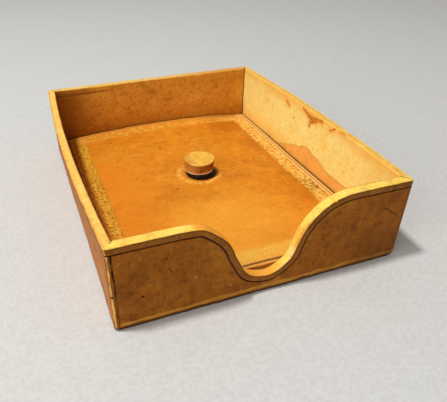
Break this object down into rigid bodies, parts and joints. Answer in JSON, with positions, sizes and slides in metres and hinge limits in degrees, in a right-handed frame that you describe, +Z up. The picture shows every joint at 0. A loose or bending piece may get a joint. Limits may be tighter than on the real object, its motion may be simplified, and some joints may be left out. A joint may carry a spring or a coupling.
{
  "type": "filing tray",
  "caption": "Open leather-covered desk tray for papers, with a finger dip in the front wall and a loose press board with a round knob that lifts out.",
  "frame": {"origin": "centre of the tray's plan, on the surface it stands on", "axes": "+X along the front wall to the right as seen from the front, +Y from the front wall to the back wall, +Z up"},
  "size_m": [0.2302, 0.275, 0.0675],
  "materials": {
    "carcass_wood": "plain sawn, unfinished",
    "pin_steel": "dull drawn wire",
    "outer_leather": "worn, dark brown, speckled, waxed sheen",
    "lining_leather": "pale tan, stained and speckled, soft sheen",
    "floor_leather": "tan, matt",
    "underside_cloth": "brushed wool cloth, matt",
    "press_leather": "orange tan, fine grain, worn gilt border, satin",
    "press_under_leather": "tan flesh side, matt",
    "knob_neck_wood": "dark stained, satin",
    "knob_side_leather": "red brown, worn edges, satin",
    "knob_top_leather": "pale tan, worn, satin"
  },
  "bodies": {
    "tray": {"base_board": "carcass_wood", "front_board": "carcass_wood", "back_board": "carcass_wood", "left_board": "carcass_wood", "right_board": "carcass_wood", "corner_pins": "pin_steel", "base_pins": "pin_steel", "front_outer_leather": "outer_leather", "back_outer_leather": "outer_leather", "left_outer_leather": "outer_leather", "right_outer_leather": "outer_leather", "front_lining": "lining_leather", "back_lining": "lining_leather", "left_lining": "lining_leather", "right_lining": "lining_leather", "floor_lining": "floor_leather", "underside_covering": "underside_cloth"},
    "press_board": {"press_board_core": "carcass_wood", "press_board_top_leather": "press_leather", "press_board_under_leather": "press_under_leather", "knob_neck": "knob_neck_wood", "knob_core": "carcass_wood", "knob_side_leather": "knob_side_leather", "knob_top_leather": "knob_top_leather", "knob_screw": "pin_steel"}
  },
  "joints": [
    {"name": "press_board_lift", "type": "slide", "parent": "tray", "child": "press_board", "axis": [0, 0, 1], "range_m": [0, 0.12]}
  ]
}
